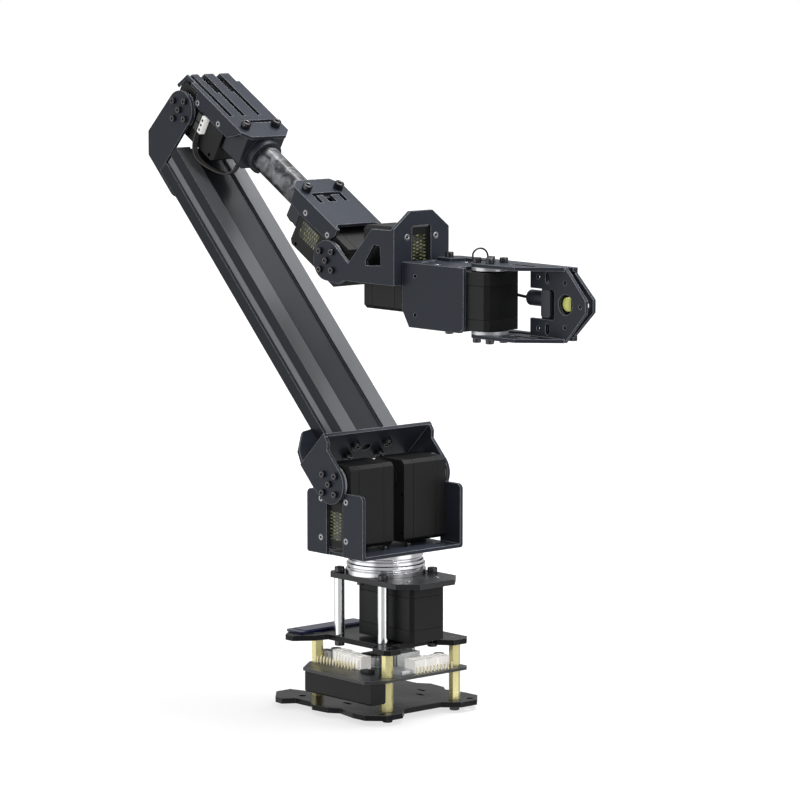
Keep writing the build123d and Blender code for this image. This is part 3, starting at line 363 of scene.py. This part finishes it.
# Where the joints' axes lie at rest, and how far down the forearm slopes
shoulder, elbow, wrist = (-0.0017, 0, 0.1278), (-0.153628, 0, 0.322677), (-0.026253, 0, 0.246142)
forearm_pitch = radians(31)
roll_height = wrist[2] - 0.0146
label_start, label_end, label_width = 0.0155, 0.0310, 0.0098
face_height, foil_sunk, shoulder_side = 0.0153, 0.00002, 0.01915
label_rows = block_rows(0.00012, 0.00004, 0.006)
for name, origin, up, along, body in (
        ("shoulder_left_label", (shoulder[0], -shoulder_side, shoulder[2]), (0, -1, 0), (0, 0, -1),
         "turntable"),
        ("shoulder_right_label", (shoulder[0], shoulder_side, shoulder[2]), (0, 1, 0), (0, 0, -1),
         "turntable"),
        ("wrist_label", wrist, (0, -1, 0), (-cos(forearm_pitch), 0, sin(forearm_pitch)), "forearm"),
        ("roll_label", (wrist[0] + 0.0379, 0, roll_height), (1, 0, 0), (0, 0, 1), "wrist")):
    grid, across = rounded_block((label_end - label_start, label_width), 0.001, label_rows)
    grid = grid + ((label_start + label_end) / 2, 0, face_height - foil_sunk)
    piece(name, [set_at(grid, origin, along, up)], label_print, body, across=[across])

# Display. A flat module lies on the middle plate's lobe. Its screen is dark blue under clear
# glass, so it is by far the smoothest surface of the base.

screen_blue = finished("screen_blue", (0.010, 0.014, 0.07), (0.12, 0.14, 0.32), 0.08, 0.03, grain=0.02)
dress(screen_blue, "display_module")

# Posts and ring. The posts are chromed steel tube; the ring is polished aluminium, turned on a
# lathe, which leaves fine rings round its axis.

post_chrome = finished("post_chrome", (0.76, 0.77, 0.79), (0.95, 0.95, 0.96), 0.14, 0.03, 1.0, edge_wear_and_highlight=0.2)
dress(post_chrome, "chrome_posts")


def turned_metal(name, color, roughness):
    """Polished metal with fine rings round the Z axis, from the distance to that axis."""
    made = finished(name, color, (0.95, 0.95, 0.95), roughness, 0.05, 1.0, edge_wear_and_highlight=0.4)
    tree = made.node_tree
    place = add(tree, "ShaderNodeTexCoord").outputs["Object"]
    rings = add(tree, "ShaderNodeTexWave", Vector=place, Scale=600.0, Distortion=0.6)
    rings.wave_type = "RINGS"
    rings.rings_direction = "Z"
    edges = placed(tree, soft_edges, Radius=0.0003, Wear=0.4)
    bump = add(tree, "ShaderNodeBump", Strength=0.06, Distance=0.00002, Height=rings.outputs["Fac"],
               Normal=edges.outputs["Normal"])
    feed(made, "Normal", bump.outputs[0])
    return made


ring_metal = turned_metal("ring_metal", (0.64, 0.64, 0.66), 0.14)
dress(ring_metal, "slewing_ring_fixed", "slewing_ring_turning")
horn_metal = finished("horn_metal", (0.72, 0.73, 0.75), (0.95, 0.95, 0.97), 0.3, 0.05, 0.5)
dress(horn_metal, "base_horn", "shoulder_horns", "elbow_horns", "wrist_horns", "roll_horn", "jaw_horns")

# Sheet brackets. Every bracket is 2 mm aluminium sheet, cut, bent and anodised in a dark
# blue-grey; the sheared edges and bends are painted brighter than the faces, as a painted highlight.

# The pale edge colour is a painted highlight along edges and bends
slate_sheet = finished("slate_sheet", (0.032, 0.038, 0.052), (0.70, 0.72, 0.76), 0.40, 0.06,
                       radius=0.0006, edge_wear_and_highlight=0.85, grain=0.18, fine_scale=1500.0, slow_scale=28.0,
                       gloss=0.16)
dress(slate_sheet, "turntable_bracket", "upper_arm_bracket", "elbow_bracket",
      "forearm_rear_bracket", "forearm_front_bracket", "wrist_bracket", "gripper_bracket",
      "fixed_jaw", "moving_jaw")
plate_black = finished("plate_black", (0.022, 0.023, 0.026), (0.16, 0.165, 0.175), 0.3, 0.06,
                       radius=0.0004, edge_wear_and_highlight=0.7, gloss=0.3)
dress(plate_black, "servo_plate")
clamp_slate = finished("clamp_slate", (0.030, 0.035, 0.045), (0.3, 0.32, 0.36), 0.38, 0.06, gloss=0.25)
dress(clamp_slate, "rear_tube_clamp", "front_tube_clamp")

# Upper arm profile. An extrusion, so fine draw lines run along it, under the same anodising. The
# raised edges of its broad faces are painted paler than the recess between them, as painted light
# on the edges and painted shade in the recess, and each slot has a pale cover strip.

profile_slate = finished("profile_slate", (0.016, 0.019, 0.026), (0.55, 0.57, 0.6), 0.36, 0.06,
                         edge_wear_and_highlight=0.8, grain=0.2, radius=0.00045, gloss=0.15)
tree = profile_slate.node_tree
apart = add(tree, "ShaderNodeSeparateXYZ", Vector=add(tree, "ShaderNodeTexCoord").outputs["Object"])
# Painted light: the raised strips get a paler colour, and the recess keeps the dark base colour as painted
# shade
raised_edge = math(tree, "MULTIPLY",
                   ramp(tree, math(tree, "ABSOLUTE", apart.outputs["Y"]), 0.00995, 0.01005),
                   ramp(tree, math(tree, "ABSOLUTE", apart.outputs["Y"]), 0.0199, 0.0198))
painted_light_on_strips = blend_colors(tree, raised_edge, tree.nodes["drift"].outputs[2], (0.165, 0.170, 0.180))
tree.links.new(painted_light_on_strips, tree.nodes["wear_and_highlight_color"].inputs[6])
dress(profile_slate, "upper_arm_profile")

upper_lean = radians(44.26)
profile_start, profile_end, profile_forward = 0.0232, 0.2322, 0.0005
slot_width, slot_floor = 0.0048, 0.0181
strip_grey = finished("strip_grey", (0.24, 0.245, 0.27), (0.5, 0.5, 0.52), 0.4, 0.05, edge_wear_and_highlight=0.5)
up_the_arm = Vector((-sin(upper_lean), 0, cos(upper_lean)))
forward = Vector((cos(upper_lean), 0, sin(upper_lean)))
middle = Vector(shoulder) + (profile_start + profile_end) / 2 * up_the_arm + profile_forward * forward
grid = rounded_block((profile_end - profile_start, slot_width), 0.0003,
                     block_rows(0.0012, 0.0003, 0.003))[0]
strips = [set_at(grid, (middle.x, side * slot_floor, middle.z), up_the_arm, (0, side, 0))
          for side in (-1, 1)]
piece("slot_strips", strips, strip_grey, "upper_arm")

# Carbon tube. Chips of carbon fibre pressed in resin, which give a marbled grey and black look
# under a clear gloss.

forged_carbon = finished("forged_carbon", (0.03, 0.032, 0.037), (0.2, 0.2, 0.22), 0.34, 0.06, edge_wear_and_highlight=0.3)
tree = forged_carbon.node_tree
place = add(tree, "ShaderNodeTexCoord").outputs["Object"]
clouds = add(tree, "ShaderNodeTexNoise", Vector=place, Scale=170.0, Detail=3.0, Roughness=0.55,
             Distortion=0.8)
feed(forged_carbon, "Base Color",
     blend_colors(tree, ramp(tree, clouds.outputs["Fac"], 0.42, 0.66), (0.012, 0.013, 0.016),
                  (0.25, 0.26, 0.28)))
forged_carbon.node_tree.nodes["Principled BSDF"].inputs["Coat Weight"].default_value = 0.25
dress(forged_carbon, "carbon_tube")

# Screws. Cap screws of blacked steel with rounded rims and a hexagon socket; the flush ones are
# left bright, and each socket is painted near black, as painted shade. The places and sizes are
# those of the CAD solids that each group stands for.

screw_steel = finished("screw_steel", (0.06, 0.06, 0.064), (0.62, 0.62, 0.64), 0.22, 0.07, 0.9,
                       radius=0.0002, edge_wear_and_highlight=0.9)
tree = screw_steel.node_tree
mark = add(tree, "ShaderNodeAttribute")
mark.attribute_name = "mark"
value = mark.outputs["Fac"]
polished = blend_colors(tree, ramp(tree, value, 0.1, 0.9), tree.nodes["drift"].outputs[2],
                        (0.34, 0.34, 0.36))
# Painted shade: rows marked below 0, the socket, are darkened to near black
painted_socket_shade = blend_colors(tree, ramp(tree, value, -0.1, -0.9), polished, (0.002, 0.002, 0.002))
tree.links.new(painted_socket_shade, tree.nodes["wear_and_highlight_color"].inputs[6])


def solids(node):
    """The corners of each separate solid of a CAD node: every corner takes the lowest number among
    those it shares an edge with, again and again, until no number changes."""
    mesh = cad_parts[node].data
    corners = np.empty(len(mesh.vertices) * 3)
    mesh.vertices.foreach_get("co", corners)
    corners, index = np.unique(corners.reshape(-1, 3).round(7), axis=0, return_inverse=True)
    ends = np.empty(len(mesh.edges) * 2, int)
    mesh.edges.foreach_get("vertices", ends)
    first, second = index.ravel()[ends].reshape(-1, 2).T
    numbers = np.arange(len(corners))
    while True:
        before = numbers.copy()
        np.minimum.at(numbers, first, before[second])
        np.minimum.at(numbers, second, before[first])
        if (numbers == before).all():
            return [corners[numbers == number] for number in np.unique(numbers)]


def screw(corners):
    """A screw in the place of a CAD one, as a turned grid whose socket rows are hexagons. Its axis
    is the line along which the corners spread most, and its head is the end that is widest."""
    middle = corners.mean(0)
    axis = np.linalg.svd(corners - middle)[2][0]
    axis = axis * np.sign(axis[np.abs(axis).argmax()])
    height = (corners - middle) @ axis
    radius = np.linalg.norm(corners - middle - height[:, None] * axis, axis=1)
    head = radius > 0.85 * radius.max()
    if height[head].mean() < height.mean():
        axis, height = -axis, -height
    wide, top, low = radius.max(), height.max(), height.min()
    tall = top - height[head].min()
    shank, socket, rim = 0.5 * wide, 0.45 * wide, 0.22 * wide
    depth = min(0.55 * tall, 0.0012)
    rows = [(0, -depth), (socket, -depth), (socket, -0.0001), (socket + 0.00012, 0), (wide - rim, 0),
            (wide - 0.4 * rim, -0.12 * rim), (wide - 0.1 * rim, -0.45 * rim), (wide, -rim),
            (wide, -tall), (shank, -tall), (shank, low - top), (0, low - top)]
    grid = turned(rows)
    angle = np.arange(24) * 2 * pi / 24
    hexagon = cos(pi / 6) / np.cos(angle % (pi / 3) - pi / 6)
    grid[1:4, :, :2] *= hexagon[:, None]
    polish = 1.0 if tall < 0.0013 else 0.0
    # The socket rows get -1, which the material paints near black as painted shade
    values = np.array([-1, -1, -0.5, max(polish, 0.3)] + [polish] * 8)
    return set_at(grid, middle + top * axis, np.roll(axis, 1), axis), values


for body, nodes in (("base", ("base_screws", "servo_plate_screws")), ("turntable", ("turntable_screws",)),
                    ("upper_arm", ("upper_arm_screws",)), ("forearm", ("forearm_screws",)),
                    ("wrist", ("wrist_screws",)), ("gripper", ("gripper_screws",)),
                    ("moving_jaw", ("jaw_screws",))):
    for node in nodes:
        grids, marks = zip(*[screw(corners) for corners in solids(node)])
        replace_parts(piece(node + "_socketed", grids, screw_steel, body, marks=marks, crease=50), node)

# Elbow plugs and lead. Two black plug housings with a white insert and three contacts sit on the
# elbow servo, and three thin wires loop from them to the tube clamp.

plug_black = finished("plug_black", (0.012, 0.012, 0.013), (0.05, 0.05, 0.05), 0.4, 0.05)
turn_forearm = np.array([[cos(forearm_pitch), 0, -sin(forearm_pitch)], [0, 1, 0],
                         [sin(forearm_pitch), 0, cos(forearm_pitch)]])


def on_forearm(points):
    """Points given from the elbow axis, X along the tube, turned and moved to their place."""
    return np.array(points) @ turn_forearm + elbow


plug_face = -0.0153
housings = [set_at(rounded_block((0.0036, 0.0052), 0.0005, block_rows(0.0037, 0.0004, 0.003))[0],
                   (0.0158, plug_face, low + 0.0026), up=(0, -1, 0)) for low in (-0.003, 0.0026)]
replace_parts(piece("plug_housings", [on_forearm(grid) for grid in housings], plug_black, "forearm"),
            "lead_plugs")
insert = set_at(rounded_block((0.0034, 0.0106), 0.0005, block_rows(0.0034, 0.0004, 0.003))[0],
                (0.0193, plug_face, 0.0024), up=(0, -1, 0))
# The insert shares the sockets' painted glow
piece("plug_insert", [on_forearm(insert)], socket_white, "forearm")
contact_rows = [(0, 0), (0.0008, 0), (0.0008, 0.0002), (0, 0.0002)]
contacts = [set_at(turned(contact_rows, 12), (0.0193, plug_face - 0.0033, z), up=(0, -1, 0))
            for z in (-0.0006, 0.0024, 0.0054)]
piece("plug_contacts", [on_forearm(grid) for grid in contacts], plug_black, "forearm")



def round_wire(name, route, thickness, body):
    """A round wire through the given points, bent smoothly by a curve of order 3."""
    curve = bpy.data.curves.new(name, "CURVE")
    curve.dimensions = "3D"
    curve.bevel_depth = thickness / 2
    curve.bevel_resolution = 3
    curve.resolution_u = 12
    curve.use_fill_caps = True
    line = curve.splines.new("NURBS")
    line.points.add(len(route) - 1)
    for point, place in zip(line.points, route):
        point.co = (*place, 1)
    line.order_u = 3
    line.use_endpoint_u = True
    curve.materials.append(wire_black)
    wire = bpy.data.objects.new(name, curve)
    bpy.context.scene.collection.objects.link(wire)
    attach(wire, body)
    return wire


wire_black = finished("wire_black", (0.030, 0.029, 0.026), (0.07, 0.07, 0.07), 0.38, 0.06, edge_wear_and_highlight=0.1)
lead_runs = [(0.0175, -0.0030, 0), (0.0175, -0.0110, 0), (0.0250, -0.0175, 0), (0.0400, -0.0170, 0.0060),
             (0.0470, -0.0125, 0.0097), (0.0470, -0.0050, 0.0097)]
lead_side, lead_spacing, lead_thickness = -0.0172, 0.00125, 0.0012
for number, step in enumerate((-1, 0, 1)):
    route = on_forearm([(x, lead_side + step * lead_spacing + shift, z) for x, z, shift in lead_runs])
    wire = round_wire(f"elbow_wire_{number + 1}", route, lead_thickness, "forearm")
    if number == 0:
        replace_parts(wire, "elbow_lead")
dress(wire_black, "lamp_wire")

# Lamp. A dark-blue moulded marker lamp sits on the fixed jaw, and its yellow-green half lens
# shows through the hole in the moving jaw.

lamp_blue = finished("lamp_blue", (0.022, 0.026, 0.040), (0.12, 0.13, 0.17), 0.42, 0.06)
dress(lamp_blue, "lamp_module")
lens_green = finished("lens_green", (0.70, 0.74, 0.24), (0.8, 0.85, 0.4), 0.35, 0.04, edge_wear_and_highlight=0.2)
# Painted light: the lens glows faintly, though the lamp is not lit, so it stays bright in the jaw's shade
painted_glow(lens_green, (0.70, 0.72, 0.2), 0.3)
lens_center = (wrist[0] + 0.1548, 0.0140, roll_height + 0.0003)
lens_cut = 0.0012
grid = turned([(0, -0.0002), (0.0037, -0.0002), (0.0037, 0.0012), (0.0031, 0.0016), (0.0015, 0.0018),
               (0, 0.0019)])
grid[..., 0] = np.minimum(grid[..., 0], lens_cut)
piece("lamp_lens", [set_at(grid, lens_center, (1, 0, 0), (0, -1, 0))], lens_green, "gripper")

# Jumper. A short loop of wire comes up through the lid of the gripper bracket and goes back
# beside its edge. It is the servo's own lead, tucked away.

loop_points = [(0.0700, 0.0005, 0.2500), (0.0695, -0.0008, 0.2540), (0.0700, 0.0015, 0.2575),
               (0.0705, 0.0062, 0.2580), (0.0710, 0.0098, 0.2550), (0.0710, 0.0100, 0.2500)]
round_wire("jumper_loop", loop_points, 0.001, "gripper")

# Studio. A pale floor that runs out to white, a white room, three soft lamps and the camera at
# the photograph's place. The camera sees the room white, and the arm sees a plain grey one, lit
# from above, with two white cards for its polished parts to mirror.


def studio_cards(tree, direction):
    """How bright the room is in a mirror: a white card to the left of the camera, a narrower one
    to its right, and dim elsewhere, by the direction's likeness to those two."""
    toward_left = add(tree, "ShaderNodeVectorMath", _0=direction, _1=(-0.40, -0.92, 0.0))
    toward_right = add(tree, "ShaderNodeVectorMath", _0=direction, _1=(0.95, 0.31, 0.0))
    toward_left.operation = toward_right.operation = "DOT_PRODUCT"
    left = ramp(tree, toward_left.outputs["Value"], 0.74, 0.90, 0.18, 1.3)
    return math(tree, "ADD", left, ramp(tree, toward_right.outputs["Value"], 0.86, 0.97, 0.0, 1.1))


floor_data = bpy.data.meshes.new("floor")
reach = 6.0
floor_data.from_pydata([(-reach, -reach, 0), (reach, -reach, 0), (reach, reach, 0), (-reach, reach, 0)],
                       [], [(0, 1, 2, 3)])
floor = bpy.data.objects.new("floor", floor_data)
bpy.context.scene.collection.objects.link(floor)
paper = material("white_paper", (0.30, 0.30, 0.30), 0.8)
tree = paper.node_tree
far = add(tree, "ShaderNodeVectorMath", _0=add(tree, "ShaderNodeTexCoord").outputs["Object"])
far.operation = "LENGTH"
rays = add(tree, "ShaderNodeLightPath")
ahead = add(tree, "ShaderNodeVectorMath", _0=add(tree, "ShaderNodeTexCoord").outputs["Object"])
ahead.operation = "NORMALIZE"
mirrored = math(tree, "MULTIPLY", rays.outputs["Is Glossy Ray"], studio_cards(tree, ahead.outputs[0]))
seen = math(tree, "MAXIMUM", rays.outputs["Is Camera Ray"], mirrored)
paper_light = ramp(tree, far.outputs["Value"], 0.12, 0.5, 0.70, 1.0)
paper.node_tree.nodes["Principled BSDF"].inputs["Emission Color"].default_value = (1, 1, 1, 1)
feed(paper, "Emission Strength", math(tree, "MULTIPLY", paper_light, seen))
floor_data.materials.append(paper)

world = bpy.data.worlds.new("white_room")
bpy.context.scene.world = world
world.use_nodes = True
tree = world.node_tree
backdrop = tree.nodes["Background"]
rays = add(tree, "ShaderNodeLightPath")
direction = add(tree, "ShaderNodeTexCoord").outputs["Generated"]
mirrored = math(tree, "MULTIPLY", rays.outputs["Is Glossy Ray"], studio_cards(tree, direction))
seen = math(tree, "MAXIMUM", rays.outputs["Is Camera Ray"], rays.outputs["Is Transmission Ray"])
seen = math(tree, "MAXIMUM", seen, mirrored)
toward = add(tree, "ShaderNodeVectorMath", _0=direction, _1=(-0.30, -0.30, 0.90))
toward.operation = "DOT_PRODUCT"
room = ramp(tree, toward.outputs["Value"], -0.1, 1.0, 0.10, 0.75)
strength = math(tree, "ADD", seen, math(tree, "MULTIPLY", room, math(tree, "SUBTRACT", 1.0, seen)))
tree.links.new(strength, backdrop.inputs["Strength"])
backdrop.inputs["Color"].default_value = (1, 1, 1, 1)


def soft_lamp(name, place, size, power):
    """A square lamp that faces the middle of the arm."""
    data = bpy.data.lights.new(name, "AREA")
    data.size = size
    data.energy = power
    lamp = bpy.data.objects.new(name, data)
    bpy.context.scene.collection.objects.link(lamp)
    lamp.location = place
    lamp.rotation_euler = (Vector((0, 0, 0.18)) - lamp.location).to_track_quat("-Z", "Y").to_euler()


soft_lamp("top_lamp", (0.15, 0.55, 1.75), 0.9, 29)
soft_lamp("left_lamp", (-0.9, -1.6, 0.7), 0.7, 1.3)
soft_lamp("right_lamp", (1.7, -0.2, 0.9), 0.7, 8)

azimuth, elevation, distance = radians(48.38), radians(7.31), 2.1464
right = Vector((cos(azimuth), sin(azimuth), 0))
back = Vector((sin(azimuth) * cos(elevation), -cos(azimuth) * cos(elevation), sin(elevation)))
up = back.cross(right)
camera_data = bpy.data.cameras.new("photo_camera")
camera_data.lens = 177.49
camera_data.sensor_width = 36
camera_data.clip_start = 0.1
camera_data.clip_end = 60
camera = bpy.data.objects.new("photo_camera", camera_data)
bpy.context.scene.collection.objects.link(camera)
camera.matrix_world = Matrix((right, up, back)).transposed().to_4x4()
camera.location = Vector((0, 0, 0.1705)) + right * 0.00772 + back * distance
bpy.context.scene.camera = camera
bpy.context.scene.view_settings.view_transform = "Standard"
